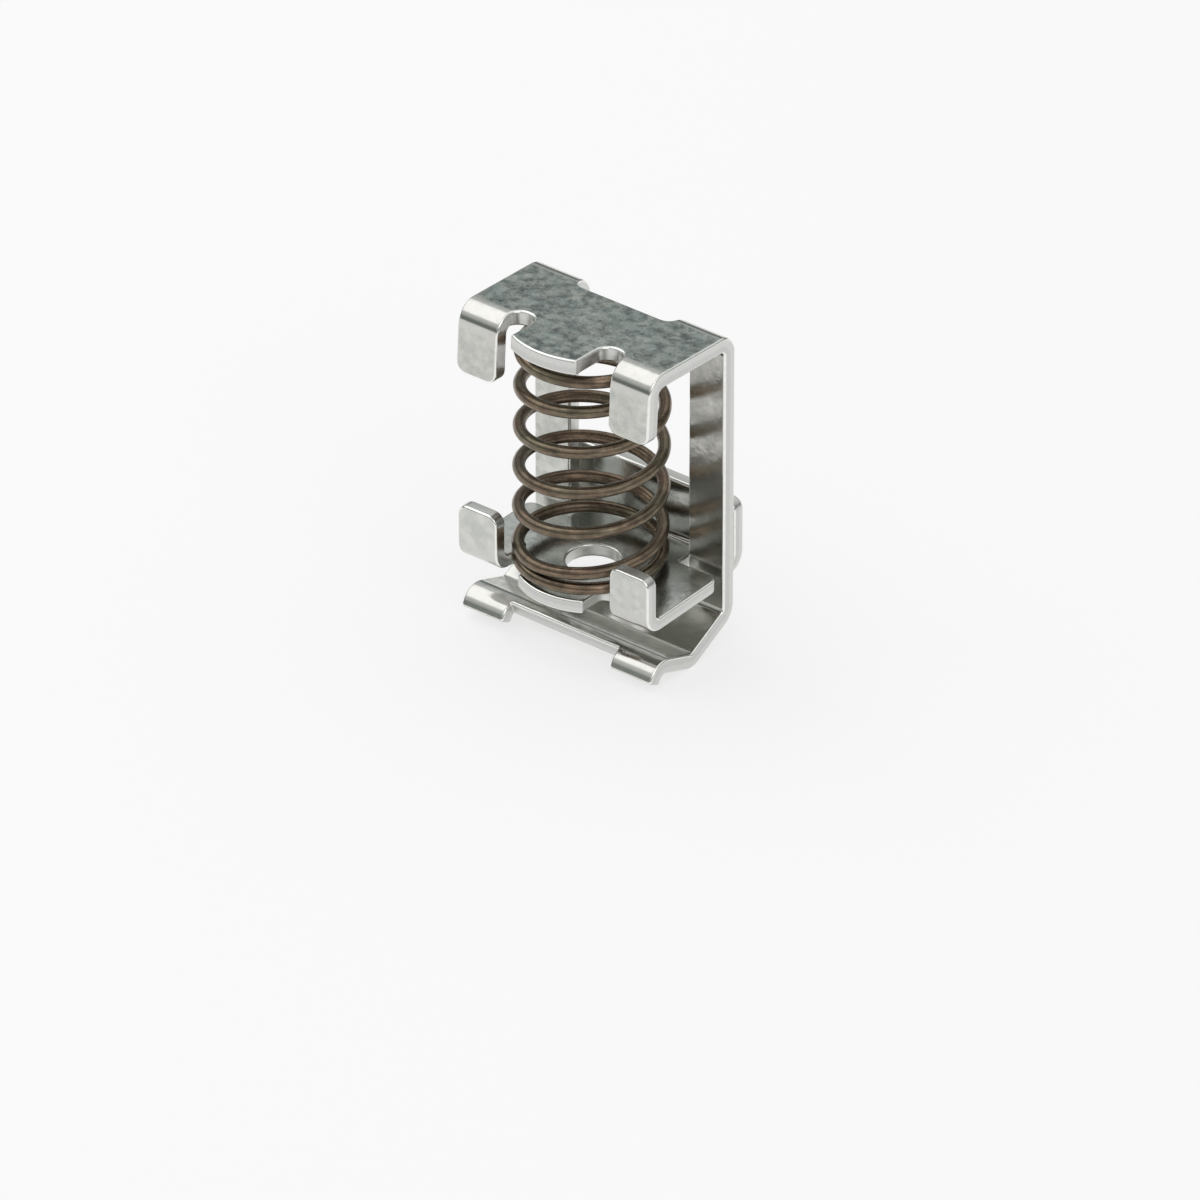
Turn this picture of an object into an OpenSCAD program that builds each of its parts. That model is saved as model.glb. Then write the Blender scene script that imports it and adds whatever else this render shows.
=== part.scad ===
// Spring clip for a flat rail: a bent yoke, a sliding pressure plate and a coil spring.
// Millimetres, Z up. Z = 0 is the face that the pressure plate rests on, the spring stands
// on the Z axis, the clip's width lies along X and the legs are on the +Y side.

/* [Rail space] */
// Width of the flat rail that passes between the legs
rail_w = 10; // [6:0.5:14]
// Thickness of the rail between the pressure plate and the foot
rail_t = 3; // [2:0.5:6]
// Gap between the rail's edge and each leg
rail_gap = 0.75; // [0.3:0.05:1.5]
// Gap between the rail's edge and each lip of the foot
lip_gap = 0.2; // [0.1:0.05:0.7]

/* [Sheet] */
// Thickness of the yoke's sheet
yoke_t = 1.3; // [0.8:0.05:1.5]
// Thickness of the pressure plate's sheet
plate_t = 1.15; // [0.7:0.05:1.3]
// Inner radius of every bend
bend_r = 0.5; // [0.3:0.05:0.8]
// Radius of the free corners on tabs, ears, wings and flange
corner_r = 0.9; // [0.4:0.1:1.4]

/* [Yoke] */
// Width of each leg
leg_w = 3.5; // [2.5:0.1:5]
// Distance from the spring's axis to the inner face of the legs
leg_y = 4.4; // [4:0.1:5]
// Depth of the yoke from the front of the tabs to the back of the legs
yoke_depth = 10.6; // [10:0.1:12]
// Height of the top plate's underside over the rail, at the legs
inner_h = 20.95; // [19:0.05:28]
// Angle by which the top plate rises toward the front
top_tilt = 3.5; // [0:0.5:5]
// Width of each front tab
tab_w = 3.85; // [3:0.05:4.5]
// Length of the front tabs below the top plate's underside
tab_l = 4.5; // [3:0.1:6]
// Width of the round spring seat between the front notches
seat_w = 6.3; // [5:0.1:7]
// How far the notches beside the spring seat reach in from the tabs' front
notch_depth = 2.4; // [2.1:0.1:3]
// Distance from the top plate's back edge to the legs' inner face
back_edge = 0.9; // [0.6:0.05:1.3]
// Extra width of each leg at its shoulder under the top bend
shoulder_w = 1.1; // [0.5:0.1:2]
// Height of the shoulders over the rail
shoulder_z = 19.2; // [16:0.1:19.5]

/* [Foot] */
// Slope of the foot from the legs down to its trough
heel_slope = 26; // [18:1:32]
// Slope of the foot from the trough up to its ridge
ridge_slope = 20; // [12:1:24]
// Slope of the lips below the ridge
lip_slope = 60; // [40:1:65]
// Distance from the legs' inner face to the trough
heel_run = 3.9; // [3.2:0.1:4.5]
// Distance from the trough to the ridge
ridge_run = 4.25; // [3.8:0.05:4.6]
// Distance from the ridge's fold line to the ends of the lips
lip_run = 1; // [0.9:0.05:1.5]
// Radius of the lips' free corners
lip_corner_r = 0.3; // [0.1:0.05:0.8]
// How far the foot under the rail stays behind the ridge's fold line
web_setback = 0.4; // [0.2:0.05:0.7]

/* [Pressure plate] */
// Distance from the spring's axis to the inner face of the ears
ear_y = 3.9; // [3.4:0.1:4.5]
// Width of each front ear
ear_w = 3.8; // [3:0.05:4.5]
// Height of the ears' tops over the rail
ear_h = 5.05; // [4:0.05:6]
// Height of the back flange over the rail
flange_h = 6.15; // [5:0.05:8]
// How much the flange is narrower than the plate at each end
flange_inset = 0.65; // [0:0.05:1.2]
// Width of the round spring seat between the plate's notches
plate_seat_w = 6.3; // [5:0.1:7.5]
// How far the plate's notches reach in from the ears' front
plate_notch_depth = 2.3; // [1.9:0.1:2.8]
// Gap between the plate's wings and the front of the legs
wing_gap = 0.6; // [0.4:0.05:1.4]
// Gap between the plate's neck and the legs' inner edges
neck_gap = 0.4; // [0.25:0.05:0.8]
// Gap between the flange's bend and the back of the legs
flange_gap = 0.35; // [0.3:0.05:0.8]
// Diameter of the hole in the middle of the plate
hole_d = 4.2; // [3:0.1:6]

/* [Spring] */
// Outer diameter of the coil
spring_d = 12.1; // [11:0.1:13]
// Diameter of the wire
wire_d = 1; // [0.8:0.05:1.1]
// Turns between the two closed ends
active_turns = 4.75; // [4:0.05:6]
// Turns in the closed lower end
low_turns = 1.15; // [0.75:0.05:1.5]
// Turns in the closed upper end
high_turns = 0.6; // [0.4:0.05:1.5]
// Angle of the lower wire end around the spring's axis
start_angle = -156; // [-180:1:180]
// Gap between neighbouring turns of a closed end, and between the wire and its seats
coil_gap = 0.05; // [0.03:0.01:0.1]
// How far the spring's lower end stands off its axis along X
set_x = -0.1; // [-0.4:0.05:0.4]
// How far the spring's lower end stands off its axis along Y
set_y = -0.2; // [-0.4:0.05:0.2]
// Margin of the top plate's round seat around the coil
top_margin = 0.85; // [0.2:0.05:1.1]
// Margin of the pressure plate's round seat around the coil
plate_margin = 0.15; // [0.1:0.05:0.6]
// Gap between the coil and the back flange
flange_clear = 0.3; // [0.2:0.05:0.6]

/* [Hidden] */
$fn = 64;

// Overshoot of the cutting shapes
over = 1;
// Corner radius of the gaps beside the seats, as a share of their half width, at most
gap_round = 0.85;
// Excess radius of arcs that blend into a face, so that they cross it cleanly
slack = 0.0002;
clip_w = rail_w + 2 * (rail_gap + leg_w);
leg_x = rail_w / 2 + rail_gap;
lip_x = rail_w / 2 + lip_gap;
tab_x = clip_w / 2 - tab_w;
tab_y = leg_y + 2 * yoke_t - yoke_depth;
reach = clip_w + yoke_depth;
// Where the flat of the top plate and of the pressure plate starts behind the front folds
top_flat = tab_y / cos(top_tilt) + bend_r;
plate_flat = bend_r - ear_y;

// Foot: the ridge's rounded crest, not its sharp fold line, lies at the underside of the rail
ridge_round = bend_r + yoke_t;
crest = ridge_round * (cos((lip_slope - ridge_slope) / 2) / cos((lip_slope + ridge_slope) / 2) - 1);
trough_y = leg_y - heel_run;
ridge_y = trough_y - ridge_run;
lip_y = ridge_y - lip_run;
ridge_z = crest - rail_t;
trough_z = ridge_z - ridge_run * tan(ridge_slope);
heel_z = trough_z + heel_run * tan(heel_slope);
lip_z = ridge_z - lip_run * tan(lip_slope);
// Where the foot's upper face has fallen to the underside of the rail
web_y = leg_y - (heel_z + rail_t) / tan(heel_slope);

// Inner face of the yoke's sheet, seen from the side as [y, z], from the tab's tip to the lip
tab_root = [tab_y, inner_h + (leg_y - tab_y) * tan(top_tilt)];
tab_tip = tab_root - tab_l * [sin(top_tilt), cos(top_tilt)];
yoke_face = [
    tab_tip,
    tab_root,
    [leg_y, inner_h],
    [leg_y, heel_z],
    [trough_y, trough_z],
    [ridge_y, ridge_z],
    [lip_y, lip_z]
];

// Upper face of the plate's sheet, from the ear's tip to the flange's tip
flange_y = max(spring_d / 2 + flange_clear, leg_y + yoke_t + flange_gap + bend_r);
flange_x = clip_w / 2 - flange_inset;
ear_x = clip_w / 2 - ear_w;
neck_x = leg_x - neck_gap;
plate_face = [
    [-ear_y, ear_h],
    [-ear_y, plate_t],
    [flange_y, plate_t],
    [flange_y, flange_h]
];

// Spring: its upper end stays clear of the tilted top plate all along its closed part
top_under = inner_h + leg_y * tan(top_tilt);
coil_r = (spring_d - wire_d) / 2;
coil_low = plate_t + coil_gap + wire_d / 2;
closed_pitch = wire_d + coil_gap;
turns = low_turns + active_turns + high_turns;
seat_steps = 12;
coil_high = min([for (i = [0 : seat_steps])
    let (back = high_turns * i / seat_steps)
    seat_z(turns - back) + closed_pitch * back]);
pitch = (coil_high - coil_low - (low_turns + high_turns) * closed_pitch) / active_turns;
wire_sides = 10;
rings_per_turn = 28;

function heading(path, i) = atan2(path[i + 1][1] - path[i][1], path[i + 1][0] - path[i][0]);
function wrapped(a) = a > 180 ? a - 360 : a < -180 ? a + 360 : a;
function fold(path, i) = wrapped(heading(path, i) - heading(path, i - 1));
function toward(a) = [cos(a), sin(a)];

// The point opposite path[i] on the sheet's other face, where the flats would meet without a bend
function opposite(path, i, t, side) =
    i == 0 ? path[i] + t * toward(heading(path, i) + 90 * side)
    : i == len(path) - 1 ? path[i] + t * toward(heading(path, i - 1) + 90 * side)
    : path[i] + t / cos(fold(path, i) / 2) * toward(heading(path, i - 1) + fold(path, i) / 2 + 90 * side);

// Four-sided area between a bend's centre and its sharp corner, r away from the centre at both flats
module bend_area(r, sweep) {
    polygon([[0, 0], r * toward(0), r / cos(sweep / 2) * toward(sweep / 2), r * toward(sweep)]);
}

// Moves to the centre of the bend at path[i] and turns to where its arc starts
module at_bend(path, i, t, side) {
    way = sign(fold(path, i));
    face_r = way * side < 0 ? bend_r : bend_r + t;
    translate(path[i])
        rotate(heading(path, i - 1))
            translate([-face_r * tan(abs(fold(path, i)) / 2), way * face_r])
                rotate(-90 * way)
                    children();
}

// Side view of a bent sheet: path is one face, and the sheet lies to its left (side 1) or right (side -1)
module bent_sheet(path, t, side) {
    last = len(path) - 1;
    difference() {
        union() {
            polygon(concat(path, [for (i = [last : -1 : 0]) opposite(path, i, t, side)]));
            for (i = [1 : last - 1])
                at_bend(path, i, t, side)
                    difference() {
                        bend_area(bend_r + t / 2, fold(path, i));
                        circle(bend_r + slack);
                    }
        }
        for (i = [1 : last - 1])
            at_bend(path, i, t, side)
                difference() {
                    bend_area(bend_r + 2 * t, fold(path, i));
                    circle(bend_r + t + slack);
                }
    }
}

// Stretches a side view across the clip's width
module across(w) {
    translate([-w / 2, 0, 0])
        rotate([90, 0, 90])
            linear_extrude(w)
                children();
}

// What one corner of radius r loses: it lies at [x, y] and points the given way along each axis
module corner_loss(x, y, way_x, way_y, r = corner_r) {
    side = r + over;
    translate([x - way_x * r, y - way_y * r])
        difference() {
            translate([way_x > 0 ? 0 : -side, way_y > 0 ? 0 : -side])
                square(side);
            circle(r + slack);
        }
}

// Both corners of a free end at y that spans x_in to x_out, on the two sides of the clip
module end_loss(x_in, x_out, y, way, r = corner_r) {
    for (flip = [0, 1])
        mirror([flip, 0, 0]) {
            corner_loss(x_in, y, -1, way, r);
            corner_loss(x_out, y, 1, way, r);
        }
}

// Stretches a front view from the spring's axis to the front of the clip, or to the back of it
module to_front() {
    rotate([90, 0, 0])
        linear_extrude(reach)
            children();
}
module to_back() {
    translate([0, reach, 0])
        to_front()
            children();
}

// Slot of the given half width that comes from -Y and ends at y = 0 with rounded corners
module slot_end(half, r = corner_r) {
    translate([-half, -reach - r])
        square([2 * half, reach]);
    translate([r - half, -reach])
        square([2 * (half - r), reach]);
    for (way = [-1, 1])
        translate([way * (half - r), -r])
            circle(r + slack);
}

// Gaps that free a spring seat from the folds on both sides of it: they reach past the flat's start
// at y by the given depth, and their ends are nearly round where that is deep enough
module seat_gaps(x_in, x_out, y, depth) {
    half = (x_out - x_in) / 2;
    for (way = [-1, 1])
        translate([way * (x_in + half), y + depth])
            slot_end(half, min(gap_round * half, depth));
}

// Round front of a spring seat with the given margin, cut to its width
module seat_front(w, margin) {
    intersection() {
        circle(spring_d / 2 + margin);
        translate([-w / 2, -reach])
            square([w, reach]);
    }
}

// Frame of the top plate: the origin is where the spring's axis meets its underside
module on_top() {
    translate([0, 0, top_under])
        rotate([-top_tilt, 0, 0])
            children();
}

// Frame of the lips: the origin is at the end of their upper face
module on_lip() {
    translate([0, lip_y, lip_z])
        rotate([lip_slope, 0, 0])
            children();
}

// The yoke's sheet with its front fold taken off between the notches
module yoke_sheet() {
    difference() {
        across(clip_w)
            bent_sheet(yoke_face, yoke_t, 1);
        on_top()
            translate([-tab_x, top_flat - reach, -tab_l - over])
                cube([2 * tab_x, reach, tab_l + yoke_t + 2 * over]);
    }
    on_top()
        linear_extrude(yoke_t)
            seat_front(seat_w, top_margin);
}

// Window behind the spring, from the top plate's back edge down between the legs to the foot
module back_window() {
    translate([0, web_y, shoulder_z])
        to_back()
            slot_end(leg_x);
    translate([0, leg_y - back_edge, shoulder_z - corner_r - over])
        linear_extrude(reach)
            rotate(180)
                slot_end(leg_x - shoulder_w);
}

module yoke() {
    color("silver")
        difference() {
            yoke_sheet();
            on_top() {
                translate([0, 0, -over])
                    linear_extrude(yoke_t + 2 * over)
                        seat_gaps(seat_w / 2, tab_x, top_flat, notch_depth - yoke_t - bend_r);
                to_front()
                    end_loss(tab_x, clip_w / 2, -tab_l, -1);
            }
            back_window();
            // The lips stand only beside the rail
            translate([-lip_x, ridge_y + web_setback - reach, -reach])
                cube([2 * lip_x, reach, reach]);
            on_lip()
                translate([0, 0, -yoke_t - over])
                    linear_extrude(yoke_t + 2 * over)
                        end_loss(lip_x, clip_w / 2, 0, -1, lip_corner_r);
        }
}

// The plate's sheet with its front fold taken off between the notches
module plate_sheet() {
    difference() {
        across(clip_w)
            bent_sheet(plate_face, plate_t, -1);
        translate([-ear_x, plate_flat - reach, -over])
            cube([2 * ear_x, reach, ear_h + 2 * over]);
    }
    linear_extrude(plate_t)
        seat_front(plate_seat_w, plate_margin);
}

// Slots in which the legs stand, between the plate's wings and its back flange
module leg_slots() {
    for (flip = [0, 1])
        mirror([flip, 0, 0])
            translate([neck_x, leg_y - wing_gap, -over])
                cube([reach, wing_gap + yoke_t + flange_gap, plate_t + 2 * over]);
}

module pressure_plate() {
    color("lightgray")
        difference() {
            plate_sheet();
            translate([0, 0, -over])
                linear_extrude(plate_t + 2 * over) {
                    seat_gaps(plate_seat_w / 2, ear_x, plate_flat, plate_notch_depth - plate_t - bend_r);
                    for (way = [-1, 1])
                        corner_loss(way * clip_w / 2, leg_y - wing_gap, way, 1);
                }
            leg_slots();
            translate([0, 0, -over])
                cylinder(d = hole_d, h = plate_t + 2 * over);
            to_front()
                end_loss(ear_x, clip_w / 2, ear_h, 1);
            // The flange is a little shorter than the plate is wide
            for (flip = [0, 1])
                mirror([flip, 0, 0])
                    translate([flange_x, leg_y, -over])
                        cube([reach, reach, flange_h + 2 * over]);
            to_back()
                for (way = [-1, 1])
                    corner_loss(way * flange_x, flange_h, way, 1);
        }
}

// Place and height of the wire's centre line after u turns
function climbed(u) = min(1, max(0, (u - low_turns) / active_turns));
function spot(u) = coil_r * toward(start_angle + 360 * u) + (1 - climbed(u)) * [set_x, set_y];
function rise(u) =
    u < low_turns ? closed_pitch * u
    : u < turns - high_turns ? closed_pitch * low_turns + pitch * (u - low_turns)
    : coil_high - coil_low - closed_pitch * (turns - u);
function wire_at(u) = concat(spot(u), [coil_low + rise(u)]);
// Highest that the wire's centre may lie under the top plate after u turns
function seat_z(u) = top_under - spot(u)[1] * tan(top_tilt) - coil_gap - wire_d / 2 / cos(top_tilt);
function unit(v) = v / norm(v);

// One ring of points around the wire after u turns
function wire_ring(u) =
    let (
        a = start_angle + 360 * u,
        out = [cos(a), sin(a), 0],
        step = 1 / rings_per_turn,
        along = unit(wire_at(u + step) - wire_at(u - step)),
        up = unit(cross(out, along))
    )
    [for (k = [0 : wire_sides - 1])
        wire_at(u) + wire_d / 2 * (cos(360 * k / wire_sides) * out + sin(360 * k / wire_sides) * up)];

module coil_spring() {
    steps = round(turns * rings_per_turn);
    points = [for (i = [0 : steps]) each wire_ring(turns * i / steps)];
    walls = [for (i = [0 : steps - 1], k = [0 : wire_sides - 1])
        let (a = i * wire_sides + k, b = i * wire_sides + (k + 1) % wire_sides)
        each [[a, b, b + wire_sides], [a, b + wire_sides, a + wire_sides]]];
    first = [for (k = [wire_sides - 1 : -1 : 0]) k];
    last = [for (k = [0 : wire_sides - 1]) steps * wire_sides + k];
    color("tan")
        polyhedron(points, concat(walls, [first, last]));
}

yoke();
pressure_plate();
coil_spring();
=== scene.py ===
import math

import bpy
import numpy as np
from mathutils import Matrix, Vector
from mathutils.geometry import delaunay_2d_cdt


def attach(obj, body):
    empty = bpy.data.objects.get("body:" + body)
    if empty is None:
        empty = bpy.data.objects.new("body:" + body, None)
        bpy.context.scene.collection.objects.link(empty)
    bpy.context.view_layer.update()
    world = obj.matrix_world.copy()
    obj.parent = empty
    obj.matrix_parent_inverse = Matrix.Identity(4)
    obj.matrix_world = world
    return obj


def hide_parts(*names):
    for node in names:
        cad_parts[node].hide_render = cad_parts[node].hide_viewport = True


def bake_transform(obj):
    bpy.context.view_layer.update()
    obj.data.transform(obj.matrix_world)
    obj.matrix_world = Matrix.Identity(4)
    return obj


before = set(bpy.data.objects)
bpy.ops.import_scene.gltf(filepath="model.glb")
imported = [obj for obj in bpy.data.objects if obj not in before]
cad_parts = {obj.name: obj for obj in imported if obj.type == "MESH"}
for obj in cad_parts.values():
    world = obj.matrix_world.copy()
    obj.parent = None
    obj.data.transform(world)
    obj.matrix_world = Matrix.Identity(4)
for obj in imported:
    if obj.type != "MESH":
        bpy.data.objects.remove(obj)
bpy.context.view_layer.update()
mm = 0.001
print("frame loaded:", sorted(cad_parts))


# a plain value is set on the socket, another node's output is linked to it
def feed(tree, socket, value):
    if isinstance(value, (int, float, tuple)):
        socket.default_value = value
    else:
        tree.links.new(value, socket)


# sockets go by name, or by number as in _3
def addNode(tree, kind, place, settings=None, **sockets):
    node = tree.nodes.new(kind)
    node.location = place
    for key, value in (settings or {}).items():
        setattr(node, key, value)
    for key, value in sockets.items():
        feed(tree, node.inputs[int(key[1:]) if key[0] == "_" else key], value)
    return node


def addMath(tree, operation, place, first, second):
    node = addNode(tree, "ShaderNodeMath", place, {"operation": operation}, _0=first, _1=second)
    return node.outputs[0]


def addMix(tree, place, factor, first, second):
    colours = {"data_type": "RGBA"}
    node = addNode(tree, "ShaderNodeMix", place, colours, _0=factor, _6=first, _7=second)
    return node.outputs[2]


# a value brought from low..high to start..end
def addRange(tree, place, value, low, high, start=0.0, end=1.0, kind="LINEAR"):
    steps = {"interpolation_type": kind}
    node = addNode(tree, "ShaderNodeMapRange", place, steps, _0=value, _1=low, _2=high, _3=start, _4=end)
    return node.outputs[0]


def addNoise(tree, place, where, scale, detail, rough):
    node = addNode(
        tree, "ShaderNodeTexNoise", place, Vector=where, Scale=scale, Detail=detail, Roughness=rough,
    )
    return node.outputs[0]


# the piece's own coordinates in millimetres, and its normal
def addCoords(tree):
    coords = addNode(tree, "ShaderNodeTexCoord", (-1200, -300))
    scale = addNode(tree, "ShaderNodeVectorMath", (-1000, -300), {"operation": "SCALE"}, Scale=1 / mm)
    tree.links.new(coords.outputs["Object"], scale.inputs[0])
    return scale.outputs[0], coords.outputs["Normal"]


def newGroup(name, inputs, outputs):
    group = bpy.data.node_groups.new(name, "ShaderNodeTree")
    for socketName, kind, value in inputs:
        socket = group.interface.new_socket(name=socketName, in_out="INPUT", socket_type=kind)
        socket.default_value = value
    for socketName, kind in outputs:
        group.interface.new_socket(name=socketName, in_out="OUTPUT", socket_type=kind)
    start = addNode(group, "NodeGroupInput", (-1200, 0))
    end = addNode(group, "NodeGroupOutput", (900, 0))
    return group, start.outputs, end.inputs


def newMaterial(name):
    material = bpy.data.materials.new(name)
    material.use_nodes = True
    material.node_tree.nodes.clear()
    return material, material.node_tree


# mottled zinc: clouds, small crystals and a fine speckle, and a painted reflection tint on upward faces
def makeZincSkin():
    colour, number = "NodeSocketColor", "NodeSocketFloat"
    group, start, end = newGroup(
        "zincSkin",
        [
            ("Light", colour, (0.7, 0.7, 0.66, 1)),
            ("Dark", colour, (0.4, 0.42, 0.4, 1)),
            ("Tint", colour, (0.45, 0.56, 0.53, 1)),
            ("Cloud", number, 0.5),
            ("Speckle", number, 0.4),
            ("Smooth", number, 0.25),
            ("Rough", number, 0.45),
        ],
        [("Color", colour), ("Roughness", number), ("Height", number)],
    )
    gritWeight, crystalWeight, tintLeast, gritHeight = 0.45, 0.18, 0.3, 0.35
    where, normal = addCoords(group)
    cloud = addNoise(group, (-760, 100), where, 0.4, 3, 0.55)
    speckle = addNoise(group, (-760, -150), where, 1.35, 3, 0.55)
    grit = addNoise(group, (-760, -650), where, 5, 2, 0.6)
    blurred = {"feature": "SMOOTH_F1"}
    crystal = addNode(
        group, "ShaderNodeTexVoronoi", (-760, -400), blurred, Vector=where, Scale=1.6, Smoothness=0.6,
    )
    shade = addNode(group, "ShaderNodeSeparateColor", (-560, -400), _0=crystal.outputs["Color"])
    clouds = addRange(group, (-560, 100), cloud, 0.36, 0.64)
    specks = addRange(group, (-560, -150), speckle, 0.41, 0.64)
    grains = addRange(group, (-560, -650), grit, 0.42, 0.64)
    # upward faces get more of the speckle than the others, and a cool tint that is a painted reflection of
    # the room above them
    facing = addNode(group, "ShaderNodeSeparateXYZ", (-1000, 400), _0=normal)
    upward = addRange(group, (-760, 400), facing.outputs["Z"], 0.93, 0.99, 0.22, 1.0, "SMOOTHSTEP")
    upwardSpeckle = addMath(group, "MULTIPLY", (-540, 400), start["Speckle"], upward)
    cloudShare = addMath(group, "MULTIPLY", (-340, 100), clouds, start["Cloud"])
    fineGrain = addMath(group, "MULTIPLY", (-440, -650), grains, gritWeight)
    grain = addMath(group, "ADD", (-440, -250), specks, fineGrain)
    speckleShare = addMath(group, "MULTIPLY", (-340, -150), grain, upwardSpeckle)
    crystalShare = addMath(group, "MULTIPLY", (-340, -400), shade.outputs[0], crystalWeight)
    mottle = addMath(group, "ADD", (-140, 0), cloudShare, speckleShare)
    darkness = addMath(group, "ADD", (40, 0), mottle, crystalShare)
    # painted reflection: upward faces are mixed, in spots, towards the cool Tint of the room above
    spots = addMath(group, "MULTIPLY", (-440, 250), shade.outputs[1], 1 - tintLeast)
    tintSpots = addMath(group, "ADD", (-340, 250), spots, tintLeast)
    reflectionShare = addMath(group, "MULTIPLY", (-140, 400), tintSpots, upward)
    reflectionTinted = addMix(group, (60, 300), reflectionShare, start["Light"], start["Tint"])
    feed(group, end["Color"], addMix(group, (260, 200), darkness, reflectionTinted, start["Dark"]))
    gloss = addRange(group, (260, -100), darkness, 0.0, 1.0, start["Smooth"], start["Rough"])
    feed(group, end["Roughness"], gloss)
    gritRelief = addMath(group, "MULTIPLY", (40, -500), grit, gritHeight)
    feed(group, end["Height"], addMath(group, "ADD", (260, -400), specks, gritRelief))
    return group


# bright rims (a painted highlight), shorn walls and stretched folds, from the marks that foldedSheet leaves
# on the points
def makeShornEdge():
    colour, number = "NodeSocketColor", "NodeSocketFloat"
    group, start, end = newGroup(
        "shornEdge",
        [
            ("Color", colour, (0.6, 0.6, 0.6, 1)),
            ("Rim Color", colour, (0.92, 0.92, 0.9, 1)),
            ("Cut Color", colour, (0.65, 0.65, 0.63, 1)),
            ("Fold Color", colour, (0.72, 0.71, 0.68, 1)),
            ("Roughness", number, 0.4),
            ("Rim Roughness", number, 0.2),
            ("Cut Roughness", number, 0.32),
            ("Fold Roughness", number, 0.18),
        ],
        [("Color", colour), ("Roughness", number), ("Relief", number)],
    )
    tearUneven, tearWeight, foldWeight, tornColour = 0.5, 0.15, 0.8, (0.2, 0.2, 0.2, 1)
    rim, depth, fold = (
        addNode(group, "ShaderNodeAttribute", (-900, y), {"attribute_name": mark}).outputs["Fac"]
        for mark, y in (("rimShare", 300), ("cutDepth", 100), ("foldShare", -100))
    )
    where, _ = addCoords(group)
    edgeNoise = addNoise(group, (-760, -350), where, 2.2, 3, 0.55)
    edgeVariation = addRange(group, (-560, -350), edgeNoise, 0.3, 0.65, 0.75, 1.0)
    rimShare = addRange(group, (-560, 350), rim, 0.05, 0.6, kind="SMOOTHSTEP")
    wall = addRange(group, (-560, 150), rim, 0.9, 1.0, kind="SMOOTHSTEP")
    # painted highlight: the rounded rims are mixed, in patches, towards the near-white Rim Color
    rimMask = addMath(group, "MULTIPLY", (-340, 350), rimShare, edgeVariation)
    foldMask = addMath(group, "MULTIPLY", (-340, -100), fold, edgeVariation)
    # the punch leaves a smooth band on the outer half of a wall and a torn, darker one on the inner half
    uneven = addMath(group, "SUBTRACT", (-560, -600), edgeNoise, 0.5)
    ragged = addMath(group, "MULTIPLY", (-440, -550), uneven, tearUneven)
    tearLine = addMath(group, "ADD", (-340, -350), depth, ragged)
    torn = addRange(group, (-140, -350), tearLine, 0.62, 0.4, kind="SMOOTHSTEP")
    tearing = addMath(group, "MULTIPLY", (40, -350), torn, tearWeight)
    stretched = addMath(group, "MULTIPLY", (-240, 0), foldMask, foldWeight)
    bent = addMix(group, (-100, 350), stretched, start["Color"], start["Fold Color"])
    rimHighlighted = addMix(group, (100, 350), rimMask, bent, start["Rim Color"])
    cut = addMix(group, (240, 100), tearing, start["Cut Color"], tornColour)
    feed(group, end["Color"], addMix(group, (500, 300), wall, rimHighlighted, cut))
    rough = start["Roughness"]
    for mask, part, x in ((foldMask, "Fold", 260), (rimMask, "Rim", 460), (wall, "Cut", 660)):
        rough = addRange(group, (x, -150), mask, 0.0, 1.0, rough, start[part + " Roughness"])
    feed(group, end["Roughness"], rough)
    # folds, rims and walls are smoother than the flats
    worked = addMath(group, "MAXIMUM", (460, -450), rimShare, fold)
    feed(group, end["Relief"], addMath(group, "SUBTRACT", (660, -450), 1.0, worked))
    return group


zincSkin = makeZincSkin()
shornEdge = makeShornEdge()
print("shader groups made")


def zincMaterial(name, piece):
    material, tree = newMaterial(name)
    skin = addNode(tree, "ShaderNodeGroup", (-300, 0), {"node_tree": zincSkin})
    for key in ("Light", "Dark", "Tint", "Cloud", "Speckle", "Smooth", "Rough"):
        skin.inputs[key].default_value = piece[key.lower()]
    edge = addNode(tree, "ShaderNodeGroup", (0, 0), {"node_tree": shornEdge})
    for part in ("Rim", "Cut", "Fold"):
        edge.inputs[part + " Color"].default_value = piece[part.lower()]
        edge.inputs[part + " Roughness"].default_value = piece[part.lower() + "Rough"]
    for key in ("Color", "Roughness"):
        feed(tree, edge.inputs[key], skin.outputs[key])
    bump = addNode(tree, "ShaderNodeBump", (300, -300), Distance=piece["bumpDepth"])
    strength = addMath(tree, "MULTIPLY", (160, -200), edge.outputs["Relief"], piece["bump"])
    feed(tree, bump.inputs["Strength"], strength)
    feed(tree, bump.inputs["Height"], skin.outputs["Height"])
    shader = addNode(tree, "ShaderNodeBsdfPrincipled", (600, 0), Metallic=1.0)
    feed(tree, shader.inputs["Base Color"], edge.outputs["Color"])
    feed(tree, shader.inputs["Roughness"], edge.outputs["Roughness"])
    feed(tree, shader.inputs["Normal"], bump.outputs[0])
    addNode(tree, "ShaderNodeOutputMaterial", (900, 0), _0=shader.outputs[0])
    return material


# how finely all sheets are worked, in millimetres and degrees
sheetSteps = {
    "hair": 1e-6,
    "merge": 1e-5,
    "foldSlack": 1e-4,
    "cornerStep": 9,
    "seatSteps": 14,
    "holeSteps": 56,
    "footSamples": 2000,
}


def rotated(vector, angle):
    cos, sin = math.cos(angle), math.sin(angle)
    return np.array((vector[0] * cos - vector[1] * sin, vector[0] * sin + vector[1] * cos))


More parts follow.
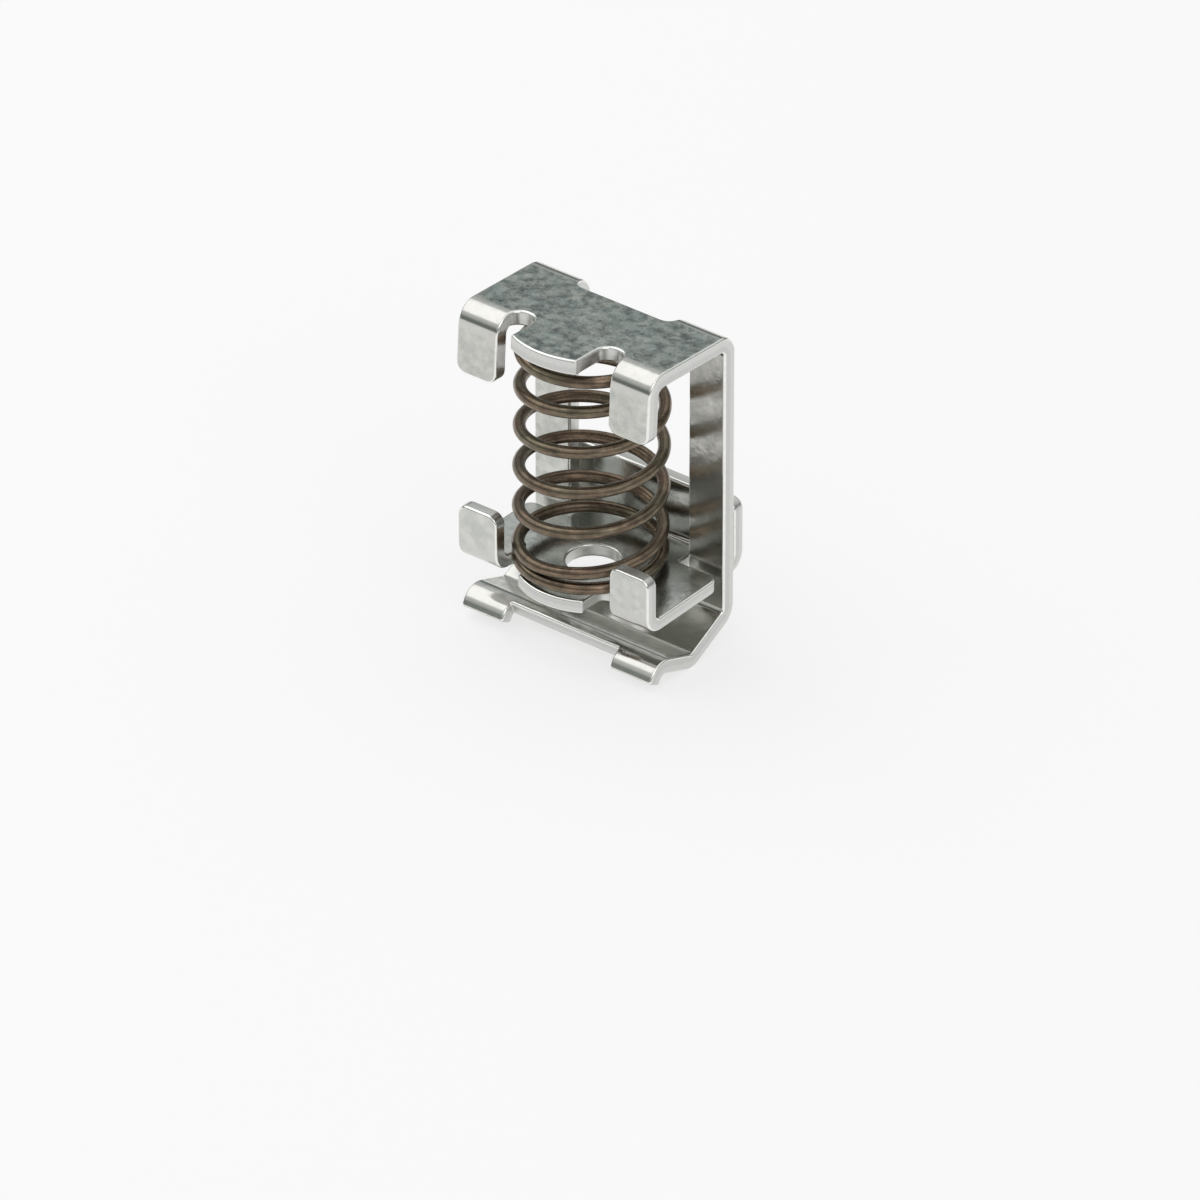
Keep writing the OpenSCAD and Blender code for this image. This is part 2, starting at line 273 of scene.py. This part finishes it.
# middle line of a bent sheet, from the side: straight runs and round folds, by length s along it
def foldLine(face, thick, side, bendInner):
    points = [np.array(p, float) for p in face]
    ways = [(q - p) / np.linalg.norm(q - p) for p, q in zip(points, points[1:])]
    left = [side * np.array((-w[1], w[0])) for w in ways]
    middle = [points[0] + left[0] * thick / 2]
    for i in range(1, len(points) - 1):
        bisector = left[i - 1] + left[i]
        middle.append(points[i] + bisector * thick / (1 + left[i - 1] @ left[i]) / 2)
    middle.append(points[-1] + left[-1] * thick / 2)
    radius = bendInner + thick / 2
    runs, folds, s, start = [], [], 0.0, middle[0]
    for i, way in enumerate(ways):
        end = middle[i + 1]
        turn = 0.0
        if i + 1 < len(ways):
            cross = way[0] * ways[i + 1][1] - way[1] * ways[i + 1][0]
            turn = math.atan2(cross, way @ ways[i + 1])
            end = end - way * radius * math.tan(abs(turn) / 2)
        runs.append({"s": s, "start": start, "way": way, "turn": 0.0})
        s += (end - start) @ way
        if turn:
            runs.append({"s": s, "start": end, "way": way, "turn": turn})
            folds.append((s, s + radius * abs(turn), turn))
            s += radius * abs(turn)
            start = middle[i + 1] + ways[i + 1] * radius * math.tan(abs(turn) / 2)
    return {"runs": runs, "folds": folds, "length": s, "radius": radius}


# point (y, z) and left-hand normal of the middle line at s
def onLine(line, s):
    reached = [run for run in line["runs"] if run["s"] <= s]
    run = reached[-1] if reached else line["runs"][0]
    d = s - run["s"]
    way = run["way"]
    normal = np.array((-way[1], way[0]))
    if not run["turn"]:
        return run["start"] + way * d, normal
    sign = math.copysign(1, run["turn"])
    turned = rotated(normal, sign * d / line["radius"])
    centre = run["start"] + sign * normal * line["radius"]
    return centre - sign * turned * line["radius"], turned


# closed outline from corners (x, s, radius), each corner rounded by its radius
def roundedOutline(corners):
    outline = []
    for i, (x, s, r) in enumerate(corners):
        here = np.array((x, s))
        back = np.array(corners[i - 1][:2]) - here
        ahead = np.array(corners[(i + 1) % len(corners)][:2]) - here
        back, ahead = back / np.linalg.norm(back), ahead / np.linalg.norm(ahead)
        bend = math.pi - math.acos(max(-1, min(1, back @ ahead)))
        if r <= 0 or bend == 0:
            outline.append(here)
            continue
        reach = r * math.tan(bend / 2)
        inward = (back + ahead) / np.linalg.norm(back + ahead)
        centre = here + inward * r / math.cos(bend / 2)
        first, last = here + back * reach - centre, here + ahead * reach - centre
        steps = max(2, math.ceil(math.degrees(bend) / sheetSteps["cornerStep"]))
        sweep = math.atan2(first[0] * last[1] - first[1] * last[0], first @ last)
        outline += [centre + rotated(first, sweep * k / steps) for k in range(steps + 1)]
    return np.array(outline)


# corners of the right half, and the same on the left
def mirrored(corners):
    return corners + [(-x, s, r) for x, s, r in reversed(corners) if x]


def signedArea(outline):
    x, s = outline[:, 0], outline[:, 1]
    return 0.5 * np.sum(x * np.roll(s, -1) - np.roll(x, -1) * s)


# outline moved into the sheet by d: the sheet lies to the outline's left
def movedIn(outline, d):
    ahead = np.roll(outline, -1, 0) - outline
    ahead /= np.linalg.norm(ahead, axis=1)[:, None]
    normal = np.stack((-ahead[:, 1], ahead[:, 0]), 1)
    before = np.roll(normal, 1, 0)
    share = (normal + before) / (1 + np.sum(normal * before, 1))[:, None]
    return outline + share * d


def within(points, outline):
    x, s = points[:, 0][:, None], points[:, 1][:, None]
    x0, s0 = outline[:, 0], outline[:, 1]
    x1, s1 = np.roll(x0, -1), np.roll(s0, -1)
    climb = np.where(s1 == s0, 1, s1 - s0)
    crosses = ((s0 <= s) != (s1 <= s)) & (x < (x1 - x0) * (s - s0) / climb + x0)
    return np.sum(crosses, 1) % 2 == 1


# distance of each point from the nearest rim, and the way out of the sheet there
def nearestRim(points, outlines):
    hair = sheetSteps["hair"]
    least, out = np.full(len(points), np.inf), np.zeros((len(points), 2))
    for outline in outlines:
        for start, way in zip(outline, np.roll(outline, -1, 0) - outline):
            t = np.clip((points - start) @ way / (way @ way), 0, 1)
            away = np.linalg.norm(points - start - t[:, None] * way, axis=1)
            out[away < least - hair] = 0
            out[away < least + hair] += np.array((way[1], -way[0])) / np.linalg.norm(way)
            least = np.minimum(least, away)
    return least, out / np.maximum(np.linalg.norm(out, axis=1), hair)[:, None]


# flat points and triangles of a sheet: its rims stepped inward, its folds stepped across
def flatMesh(line, piece, outlines):
    rim, rimSteps, foldFade = piece["rimRadius"], piece["rimSteps"], piece["foldFade"]
    points, edges = [], []
    for k in range(rimSteps + 1):
        d = rim * (1 - math.cos(math.pi / 2 * k / rimSteps))
        for outline in outlines:
            first, n = len(points), len(outline)
            points += [tuple(p) for p in movedIn(outline, d)]
            edges += [(first + i, first + (i + 1) % n) for i in range(n)]
    past = np.abs(outlines[0][:, 0]).max() + 1  # fold lines run past both sides
    for s0, s1, turn in line["folds"]:
        steps = math.ceil(abs(math.degrees(turn)) / piece["foldStep"])
        stops = [s0 + (s1 - s0) * k / steps for k in range(steps + 1)]
        for s in [s0 - foldFade] + stops + [s1 + foldFade]:
            edges.append((len(points), len(points) + 1))
            points += [(-past, s), (past, s)]
    corners = [Vector(p) for p in points]
    flat, _, triangles = delaunay_2d_cdt(corners, edges, [], 0, sheetSteps["merge"])[:3]
    flat, triangles = np.array([(p.x, p.y) for p in flat]), np.array(triangles)
    middle = flat[triangles].mean(1)
    kept = within(middle, outlines[0])
    for hole in outlines[1:]:
        kept &= ~within(middle, hole)
    used, packed = np.unique(triangles[kept], return_inverse=True)
    return flat[used], packed.reshape(-1, 3)


# a bent sheet from its flat pattern, in millimetres: rims rounded, folds stepped, cut walls between
def foldedSheet(name, piece, line, outer, holes, flatTongue):
    rim, slack = piece["rimRadius"], sheetSteps["foldSlack"]
    outlines = [outer if signedArea(outer) > 0 else outer[::-1]]
    outlines += [h if signedArea(h) < 0 else h[::-1] for h in holes]
    flat, triangles = flatMesh(line, piece, outlines)
    away, out = nearestRim(flat, outlines)
    rimShare = 1 - np.minimum(away, rim) / rim
    rise = np.sqrt(1 - rimShare ** 2)
    half = piece["sheet"] / 2 - piece["shave"] - rim + rim * rise
    tongueX, tongueEnd = flatTongue
    spots, normals, folded = [], [], []
    for x, s in flat:
        tongue = s < tongueEnd and abs(x) < tongueX
        spot, normal = onLine(line, tongueEnd + sheetSteps["hair"] if tongue else s)
        if tongue:
            spot = spot + (s - tongueEnd) * np.array((normal[1], -normal[0]))
        spots.append((x, *spot))
        normals.append((0, *normal))
        inFold = any(s0 - slack <= s <= s1 + slack for s0, s1, _ in line["folds"])
        folded.append(float(inFold and not tongue))
    spots, normals = np.array(spots), np.array(normals)
    n = len(spots)
    lift = normals * half[:, None]
    vertices = np.concatenate((spots + lift, spots - lift)) * mm
    faces = [tuple(t) for t in triangles] + [tuple(n + t[::-1]) for t in triangles]
    sides = {edge for a, b, c in triangles for edge in ((a, b), (b, c), (c, a))}
    walls = sorted(edge for edge in sides if edge[::-1] not in sides)
    faces += [(b, a, n + a, n + b) for a, b in walls]
    mesh = bpy.data.meshes.new(name)
    mesh.from_pydata(vertices.tolist(), [], [tuple(int(i) for i in f) for f in faces])
    cutDepth = np.repeat((1.0, 0.0) if piece["outerLeft"] else (0.0, 1.0), n)
    pointMarks = {"rimShare": np.tile(rimShare, 2), "foldShare": np.tile(folded, 2), "cutDepth": cutDepth}
    for label, values in pointMarks.items():
        marks = mesh.attributes.new(label, "FLOAT", "POINT")
        marks.data.foreach_set("value", values.astype(np.float32))
    for polygon in mesh.polygons:
        polygon.use_smooth = True
    mesh.validate()
    mesh.update()
    # flats are shaded flat, rims turn evenly from the flat to the cut wall
    outward = np.stack((out[:, 0], out[:, 1] * normals[:, 2], -out[:, 1] * normals[:, 1]), 1)
    lean, upright = outward * rimShare[:, None], normals * rise[:, None]
    mesh.normals_split_custom_set_from_vertices(np.concatenate((lean + upright, lean - upright)).tolist())
    sheet = bpy.data.objects.new(name, mesh)
    bpy.context.scene.collection.objects.link(sheet)
    print(name, len(mesh.polygons), "faces,", len(walls), "cut walls")
    return sheet


# front edge of a round spring seat, from the middle to its right corner
def seatArc(piece, where):
    radius, steps = piece["seatRadius"], sheetSteps["seatSteps"]
    end = math.asin(piece["seatWidth"] / 2 / radius)
    arc = []
    for k in range(steps + 1):
        a = end * k / steps
        arc.append((radius * math.sin(a), where(-radius * math.cos(a)), 0.0))
    return arc[:-1] + [(*arc[-1][:2], piece["seatCorner"])]


def slope(degrees):
    return math.tan(math.radians(degrees))


# yoke: sizes are those of the solid, in millimetres and degrees
yokePiece = {
    "sheet": 1.3,
    "outerLeft": True,
    "bendInner": 0.5,
    "halfWidth": 9.25,
    "legX": 5.75,
    "lipX": 5.2,
    "legY": 4.4,
    "tabX": 5.4,
    "tabY": -3.6,
    "tabLength": 4.5,
    "innerHeight": 20.95,
    "tilt": 3.5,
    "seatWidth": 6.3,
    "seatRadius": 6.9,
    "seatCorner": 0.25,
    "notchDepth": 0.6,
    "notchRadius": 1.1,
    "backEdge": 0.9,
    "shoulder": 1.1,
    "shoulderCorner": 0.3,
    "shoulderZ": 19.2,
    "heelSlope": 26,
    "ridgeSlope": 20,
    "lipSlope": 60,
    "heelRun": 3.9,
    "ridgeRun": 4.25,
    "lipRun": 1.0,
    "webSetback": 0.4,
    "jawHeight": 3.0,
    "corner": 0.9,
    "lipCorner": 0.3,
    "innerCorner": 0.1,
    "rimRadius": 0.22,
    "shave": 0.003,
    "rimSteps": 4,
    "foldStep": 6,
    "foldFade": 0.4,
    # finish
    "light": (0.73, 0.71, 0.665, 1),
    "dark": (0.13, 0.152, 0.146, 1),
    # tint: colour of the painted reflection of the room above, on upward faces
    "tint": (0.475, 0.555, 0.533, 1),
    "cloud": 0.12,
    "speckle": 0.55,
    "smooth": 0.18,
    "rough": 0.32,
    # rim: near-white colour of the painted highlight on the rounded rims
    "rim": (0.93, 0.93, 0.90, 1),
    "rimRough": 0.2,
    "cut": (0.66, 0.66, 0.64, 1),
    "cutRough": 0.3,
    "fold": (0.63, 0.62, 0.595, 1),
    "foldRough": 0.14,
    "bump": 0.3,
    "bumpDepth": 0.015 * mm,
}


# the yoke from the side, on its inner face, and the places along it that its cuts need
def yokeProfile(piece):
    legY, tabY = piece["legY"], piece["tabY"]
    bend = piece["bendInner"] + piece["sheet"]
    lip, ridge = math.radians(piece["lipSlope"]), math.radians(piece["ridgeSlope"])
    crest = bend * (math.cos((lip - ridge) / 2) / math.cos((lip + ridge) / 2) - 1)
    troughY = legY - piece["heelRun"]
    ridgeY = troughY - piece["ridgeRun"]
    ridgeZ = crest - piece["jawHeight"]
    troughZ = ridgeZ - piece["ridgeRun"] * slope(piece["ridgeSlope"])
    heelZ = troughZ + piece["heelRun"] * slope(piece["heelSlope"])
    tilt = math.radians(piece["tilt"])
    root = (tabY, piece["innerHeight"] + (legY - tabY) * math.tan(tilt))
    tip = (root[0] - piece["tabLength"] * math.sin(tilt), root[1] - piece["tabLength"] * math.cos(tilt))
    face = [
        tip,
        root,
        (legY, piece["innerHeight"]),
        (legY, heelZ),
        (troughY, troughZ),
        (ridgeY, ridgeZ),
        (ridgeY - piece["lipRun"], ridgeZ - piece["lipRun"] * slope(piece["lipSlope"])),
    ]
    webY = legY - (heelZ + piece["jawHeight"]) / slope(piece["heelSlope"])
    return face, ridgeY, webY


def yokePattern(piece):
    face, ridgeY, webY = yokeProfile(piece)
    line = foldLine(face, piece["sheet"], 1, piece["bendInner"])
    tilt = math.radians(piece["tilt"])
    flatStart = line["folds"][0][1]
    flatY = piece["tabY"] / math.cos(tilt) + piece["bendInner"]
    def top(y):
        return flatStart + y - flatY
    legStart, legEnd = line["folds"][1][1], line["folds"][2][0]
    along = np.linspace(legStart, line["length"] - sheetSteps["hair"], sheetSteps["footSamples"])
    places = np.array([onLine(line, s)[0] for s in along])
    foot = along > legEnd
    def footAt(y):
        return float(np.interp(-y, -places[foot, 0], along[foot]))
    shoulderS = float(np.interp(-piece["shoulderZ"], -places[~foot, 1], along[~foot]))
    seatX, shoulderX = piece["seatWidth"] / 2, piece["legX"] - piece["shoulder"]
    end, notchEnd = line["length"], top(flatY + piece["notchDepth"])
    outer = seatArc(piece, top) + [
        (seatX, notchEnd, piece["notchRadius"]),
        (piece["tabX"], notchEnd, piece["notchRadius"]),
        (piece["tabX"], 0.0, piece["corner"]),
        (piece["halfWidth"], 0.0, piece["corner"]),
        (piece["halfWidth"], end, piece["lipCorner"]),
        (piece["lipX"], end, piece["lipCorner"]),
        (piece["lipX"], footAt(ridgeY + piece["webSetback"]), piece["innerCorner"]),
    ]
    window = [
        (shoulderX, top((piece["legY"] - piece["backEdge"]) / math.cos(tilt)), piece["corner"]),
        (shoulderX, shoulderS, piece["shoulderCorner"]),
        (piece["legX"], shoulderS, piece["corner"]),
        (piece["legX"], footAt(webY), piece["innerCorner"]),
    ]
    flatTongue = ((seatX + piece["tabX"]) / 2, flatStart)  # the seat stays flat beside the tabs' bends
    return line, roundedOutline(mirrored(outer)), [roundedOutline(mirrored(window))], flatTongue


yokeSheet = foldedSheet("yokeSheet", yokePiece, *yokePattern(yokePiece))
yokeSheet.data.materials.append(zincMaterial("yokeZinc", yokePiece))
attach(yokeSheet, "yoke")
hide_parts("yoke")
print("yoke dressed")

# pressure plate: sizes are those of the solid, in millimetres
platePiece = {
    "sheet": 1.15,
    "outerLeft": False,
    "bendInner": 0.5,
    "halfWidth": 9.25,
    "earX": 5.45,
    "earY": -3.9,
    "earHeight": 5.05,
    "seatWidth": 6.3,
    "seatRadius": 6.2,
    "seatCorner": 0.25,
    "notchDepth": 0.65,
    "wingY": 3.8,
    "neckX": 5.35,
    "slotY": 6.05,
    "slotCorner": 0.25,
    "flangeX": 8.6,
    "flangeY": 6.55,
    "flangeHeight": 6.15,
    "hole": 4.2,
    "corner": 0.9,
    "innerCorner": 0.1,
    "rimRadius": 0.22,
    "shave": 0.003,
    "rimSteps": 4,
    "foldStep": 6,
    "foldFade": 0.4,
    # finish
    "light": (0.71, 0.71, 0.67, 1),
    "dark": (0.13, 0.152, 0.146, 1),
    # tint: colour of the painted reflection of the room above, on upward faces
    "tint": (0.68, 0.70, 0.68, 1),
    "cloud": 0.12,
    "speckle": 0.16,
    "smooth": 0.18,
    "rough": 0.32,
    # rim: near-white colour of the painted highlight on the rounded rims
    "rim": (0.93, 0.93, 0.90, 1),
    "rimRough": 0.2,
    "cut": (0.66, 0.66, 0.64, 1),
    "cutRough": 0.3,
    "fold": (0.63, 0.62, 0.595, 1),
    "foldRough": 0.14,
    "bump": 0.3,
    "bumpDepth": 0.015 * mm,
}


def platePattern(piece):
    thick, corner, notch = piece["sheet"], piece["corner"], piece["notchDepth"]
    face = [
        (piece["earY"], piece["earHeight"]),
        (piece["earY"], thick),
        (piece["flangeY"], thick),
        (piece["flangeY"], piece["flangeHeight"]),
    ]
    line = foldLine(face, thick, -1, piece["bendInner"])
    flatStart = line["folds"][0][1]
    flatY = piece["earY"] + piece["bendInner"]
    def deck(y):
        return flatStart + y - flatY
    seatX = piece["seatWidth"] / 2
    end, notchEnd = line["length"], deck(flatY + notch)
    outer = seatArc(piece, deck) + [
        (seatX, notchEnd, notch),
        (piece["earX"], notchEnd, notch),
        (piece["earX"], 0.0, corner),
        (piece["halfWidth"], 0.0, corner),
        (piece["halfWidth"], deck(piece["wingY"]), corner),
        (piece["neckX"], deck(piece["wingY"]), piece["innerCorner"]),
        (piece["neckX"], deck(piece["slotY"]), piece["innerCorner"]),
        (piece["flangeX"], deck(piece["slotY"]), piece["slotCorner"]),
        (piece["flangeX"], end, corner),
    ]
    radius, steps = piece["hole"] / 2, sheetSteps["holeSteps"]
    turns = [2 * math.pi * k / steps for k in range(steps)]
    hole = np.array([(radius * math.cos(a), deck(0) + radius * math.sin(a)) for a in turns])
    flatTongue = ((seatX + piece["earX"]) / 2, flatStart)  # the seat stays flat beside the ears' bends
    return line, roundedOutline(mirrored(outer)), [hole], flatTongue


plateSheet = foldedSheet("plateSheet", platePiece, *platePattern(platePiece))
plateSheet.data.materials.append(zincMaterial("plateZinc", platePiece))
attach(plateSheet, "plate")
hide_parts("pressure_plate")
print("plate dressed")

# coil spring: the wire follows the same turns as the solid, with more sides
springPiece = {
    "wire": 1.0 * mm,
    "coil": 5.55 * mm,
    "low": 1.7 * mm,
    "high": 20.530 * mm,
    "lowTurns": 1.15,
    "activeTurns": 4.75,
    "highTurns": 0.6,
    "closedPitch": 1.05 * mm,
    "startAngle": -156,
    "lowerSet": (-0.1 * mm, -0.2 * mm),
    "endChamfer": 0.12 * mm,
    "endShare": 0.78,
    "sides": 24,
    "ringsPerTurn": 96,
    # finish
    "warm": (0.285, 0.202, 0.147, 1),
    "olive": (0.23, 0.202, 0.14, 1),
    "dark": (0.075, 0.058, 0.044, 1),
    "smooth": 0.22,
    "rough": 0.36,
    "lineShare": 0.35,
    "patchShare": 0.55,
    "linesAlong": 0.35,
    "linesRound": 7,
    "bump": 0.3,
    "bumpDepth": 0.01 * mm,
}


# 0 at the lower end, 1 at the upper end
def climbed(piece, u):
    return min(1, max(0, (u - piece["lowTurns"]) / piece["activeTurns"]))


# middle of the wire after u turns
def wirePoint(piece, u):
    low, active = piece["lowTurns"], piece["activeTurns"]
    closed = (low + piece["highTurns"]) * piece["closedPitch"]
    share = climbed(piece, u)
    ends = min(u, low) + max(0, u - low - active)
    z = piece["low"] + ends * piece["closedPitch"] + share * (piece["high"] - piece["low"] - closed)
    angle = math.radians(piece["startAngle"] + 360 * u)
    x = piece["coil"] * math.cos(angle) + (1 - share) * piece["lowerSet"][0]
    y = piece["coil"] * math.sin(angle) + (1 - share) * piece["lowerSet"][1]
    return Vector((x, y, z))


def coilSpring(name, piece):
    turns = piece["lowTurns"] + piece["activeTurns"] + piece["highTurns"]
    sides, radius = piece["sides"], piece["wire"] / 2
    rings = round(turns * piece["ringsPerTurn"])
    step = 1 / piece["ringsPerTurn"]
    chamfer = piece["endChamfer"] / (2 * math.pi * piece["coil"]) / turns
    stations = [(0.0, piece["endShare"]), (chamfer, 1.0)]
    stations += [(i / rings, 1.0) for i in range(1, rings)]
    stations += [(1 - chamfer, 1.0), (1.0, piece["endShare"])]
    points, share, faces, uvs = [], [], [], []
    for along, size in stations:
        u = turns * along
        angle = math.radians(piece["startAngle"] + 360 * u)
        out = Vector((math.cos(angle), math.sin(angle), 0))
        ahead = (wirePoint(piece, u + step) - wirePoint(piece, u - step)).normalized()
        up = ahead.cross(out).normalized()
        for k in range(sides):
            a = 2 * math.pi * k / sides
            points.append(wirePoint(piece, u) + radius * size * (math.cos(a) * out + math.sin(a) * up))
            share.append(1 - climbed(piece, u))  # 1 moves with the plate, 0 stays with the yoke
    for i in range(len(stations) - 1):
        here, there = stations[i][0] * turns, stations[i + 1][0] * turns
        for k in range(sides):
            n = (k + 1) % sides
            faces.append((i * sides + k, i * sides + n, (i + 1) * sides + n, (i + 1) * sides + k))
            near, far = k / sides, (k + 1) / sides
            uvs += [(here, near), (here, far), (there, far), (there, near)]
    last = (len(stations) - 1) * sides
    for ring, turn in (([*reversed(range(sides))], 0.0), ([*range(last, last + sides)], turns)):
        faces.append(tuple(ring))
        uvs += [(turn, k / sides) for k in range(sides)]
    mesh = bpy.data.meshes.new(name)
    mesh.from_pydata(points, [], faces)
    layer = mesh.uv_layers.new(name="wireLength")
    layer.data.foreach_set("uv", np.array(uvs, np.float32).ravel())
    for polygon in mesh.polygons:
        polygon.use_smooth = len(polygon.vertices) == 4
    mesh.update()
    coil = bpy.data.objects.new(name, mesh)
    bpy.context.scene.collection.objects.link(coil)
    print(name, len(mesh.polygons), "faces")
    return coil, share


# brown tempered wire: drawn lines along it, dark patches and a slow change of heat colour
def wireMaterial(name, piece):
    material, tree = newMaterial(name)
    uv = addNode(tree, "ShaderNodeUVMap", (-1200, 0), {"uv_map": "wireLength"}).outputs[0]
    # u counts turns and v goes once round the wire: both brought to millimetres
    turnLength = 2 * math.pi * piece["coil"] / mm
    girth = math.pi * piece["wire"] / mm
    stretch = (turnLength * piece["linesAlong"], girth * piece["linesRound"], 1)
    drawn = addNode(tree, "ShaderNodeMapping", (-1000, 200), _0=uv, _3=stretch).outputs[0]
    spots = addNode(tree, "ShaderNodeMapping", (-1000, -200), _0=uv, _3=(turnLength, girth, 1)).outputs[0]
    heat = addRange(tree, (-540, 500), addNoise(tree, (-760, 500), spots, 0.22, 2, 0.5), 0.38, 0.62)
    lines = addRange(tree, (-540, 200), addNoise(tree, (-760, 200), drawn, 1.0, 3, 0.6), 0.35, 0.65)
    patches = addRange(tree, (-540, -100), addNoise(tree, (-760, -100), spots, 0.9, 4, 0.6), 0.35, 0.65)
    grit = addNoise(tree, (-760, -400), spots, 9, 2, 0.5)
    linesShare = addMath(tree, "MULTIPLY", (-340, 200), lines, piece["lineShare"])
    patchesShare = addMath(tree, "MULTIPLY", (-340, -100), patches, piece["patchShare"])
    darkness = addMath(tree, "ADD", (-140, 0), linesShare, patchesShare)
    tempered = addMix(tree, (60, 400), heat, piece["warm"], piece["olive"])
    gloss = addRange(tree, (260, -100), darkness, 0.0, 1.0, piece["smooth"], piece["rough"])
    relief = addMath(tree, "ADD", (60, -350), lines, grit)
    bump = addNode(tree, "ShaderNodeBump", (300, -350), Strength=piece["bump"], Distance=piece["bumpDepth"])
    feed(tree, bump.inputs["Height"], relief)
    shader = addNode(tree, "ShaderNodeBsdfPrincipled", (600, 0), Metallic=1.0)
    feed(tree, shader.inputs["Base Color"], addMix(tree, (260, 200), darkness, tempered, piece["dark"]))
    feed(tree, shader.inputs["Roughness"], gloss)
    feed(tree, shader.inputs["Normal"], bump.outputs[0])
    addNode(tree, "ShaderNodeOutputMaterial", (900, 0), _0=shader.outputs[0])
    return material


springCoil, springShare = coilSpring("springCoil", springPiece)
springCoil.data.materials.append(wireMaterial("springWire", springPiece))
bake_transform(springCoil)
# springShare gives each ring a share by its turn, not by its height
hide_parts("coil_spring")
print("spring dressed")

# floor
floorLook = {
    "size": 6.0,
    "height": -5.4 * mm,
    "colour": (0.93, 0.93, 0.93, 1),
    "lift": 0.68,
}


# matt floor, lifted towards white where it is looked at, so that it stays pale and keeps its shadow
def paleFloor(look):
    half = look["size"] / 2
    mesh = bpy.data.meshes.new("floor")
    corners = [(-half, -half), (half, -half), (half, half), (-half, half)]
    mesh.from_pydata([(x, y, look["height"]) for x, y in corners], [], [(0, 1, 2, 3)])
    floor = bpy.data.objects.new("floor", mesh)
    bpy.context.scene.collection.objects.link(floor)
    material, tree = newMaterial("paleFloor")
    matt = addNode(tree, "ShaderNodeBsdfDiffuse", (0, 100), Color=look["colour"])
    white = addNode(tree, "ShaderNodeEmission", (0, -100), Color=(1, 1, 1, 1), Strength=1.0)
    rays = addNode(tree, "ShaderNodeLightPath", (-600, 0)).outputs
    seen = addMath(tree, "MAXIMUM", (-400, 0), rays["Is Camera Ray"], rays["Is Glossy Ray"])
    through = addMath(tree, "MAXIMUM", (-200, 0), seen, rays["Is Transmission Ray"])
    lift = addMath(tree, "MULTIPLY", (0, 300), through, look["lift"])
    shaders = {"_1": matt.outputs[0], "_2": white.outputs[0]}
    blend = addNode(tree, "ShaderNodeMixShader", (300, 0), _0=lift, **shaders)
    addNode(tree, "ShaderNodeOutputMaterial", (600, 0), _0=blend.outputs[0])
    mesh.materials.append(material)


paleFloor(floorLook)

# studio: a grey room that is white at the floor, and soft boxes above
studio = {
    "room": [
        (0.00, (0.95, 0.95, 0.95, 1)),
        (0.02, (0.95, 0.95, 0.95, 1)),
        (0.07, (0.17, 0.19, 0.18, 1)),
        (0.28, (0.19, 0.21, 0.20, 1)),
        (0.42, (0.55, 0.57, 0.56, 1)),
        (0.66, (0.76, 0.77, 0.76, 1)),
        (1.00, (0.82, 0.82, 0.82, 1)),
    ],
    "boxes": [
        {"name": "keyBox", "from": (-0.55, -0.10, 0.83), "distance": 0.5, "size": 0.55, "radiance": 0.74},
        {"name": "fillBox", "from": (0.75, -0.35, 0.56), "distance": 0.8, "size": 0.5, "radiance": 0.9},
    ],
}


# shade of the room by height, from the horizon up
def studioRoom(stops):
    world = bpy.data.worlds.new("studioRoom")
    bpy.context.scene.world = world
    world.use_nodes = True
    tree = world.node_tree
    tree.nodes.clear()
    coords = addNode(tree, "ShaderNodeTexCoord", (-600, 0))
    parts = addNode(tree, "ShaderNodeSeparateXYZ", (-400, 0), _0=coords.outputs["Generated"])
    ramp = addNode(tree, "ShaderNodeValToRGB", (-200, 0), _0=parts.outputs["Z"])
    elements = ramp.color_ramp.elements
    while len(elements) < len(stops):
        elements.new(0.5)
    for element, (place, colour) in zip(elements, stops):
        element.position = place
        element.color = colour
    background = addNode(tree, "ShaderNodeBackground", (300, 0), _0=ramp.outputs[0], Strength=1.0)
    addNode(tree, "ShaderNodeOutputWorld", (600, 0), _0=background.outputs[0])


def softBox(box):
    light = bpy.data.lights.new(box["name"], "AREA")
    light.shape = "SQUARE"
    light.size = box["size"]
    light.energy = box["radiance"] * math.pi * box["size"] ** 2
    lamp = bpy.data.objects.new(box["name"], light)
    bpy.context.scene.collection.objects.link(lamp)
    way = Vector(box["from"]).normalized()
    lamp.location = way * box["distance"]
    lamp.rotation_euler = way.to_track_quat("Z", "Y").to_euler()


studioRoom(studio["room"])
for box in studio["boxes"]:
    softBox(box)
bpy.context.scene.view_settings.view_transform = "Standard"
print("studio lit")

# camera: a long lens at the viewing angle of the picture
cameraLook = {
    "azimuth": 38.2,
    "elevation": 32.25,
    "lens": 405.0,
    "sensor": 36.0,
    "pixels": 1200,
    "pixelsPerMm": 13.06,
    "originPixel": (593.14, 571.45),
}


def pictureCamera(look):
    a, e = math.radians(look["azimuth"]), math.radians(look["elevation"])
    toward = Vector((math.sin(a) * math.cos(e), -math.cos(a) * math.cos(e), math.sin(e)))
    right = Vector((math.cos(a), math.sin(a), 0))
    up = toward.cross(right)
    middle = look["pixels"] / 2
    perPixel = mm / look["pixelsPerMm"]
    aim = right * (middle - look["originPixel"][0]) * perPixel
    aim -= up * (middle - look["originPixel"][1]) * perPixel
    distance = look["lens"] / look["sensor"] * look["pixels"] * perPixel
    lens = bpy.data.cameras.new("pictureCamera")
    lens.sensor_fit = "HORIZONTAL"
    lens.sensor_width = look["sensor"]
    lens.lens = look["lens"]
    camera = bpy.data.objects.new("pictureCamera", lens)
    bpy.context.scene.collection.objects.link(camera)
    camera.location = aim + toward * distance
    camera.rotation_euler = toward.to_track_quat("Z", "Y").to_euler()
    bpy.context.scene.camera = camera


pictureCamera(cameraLook)
print("camera set")
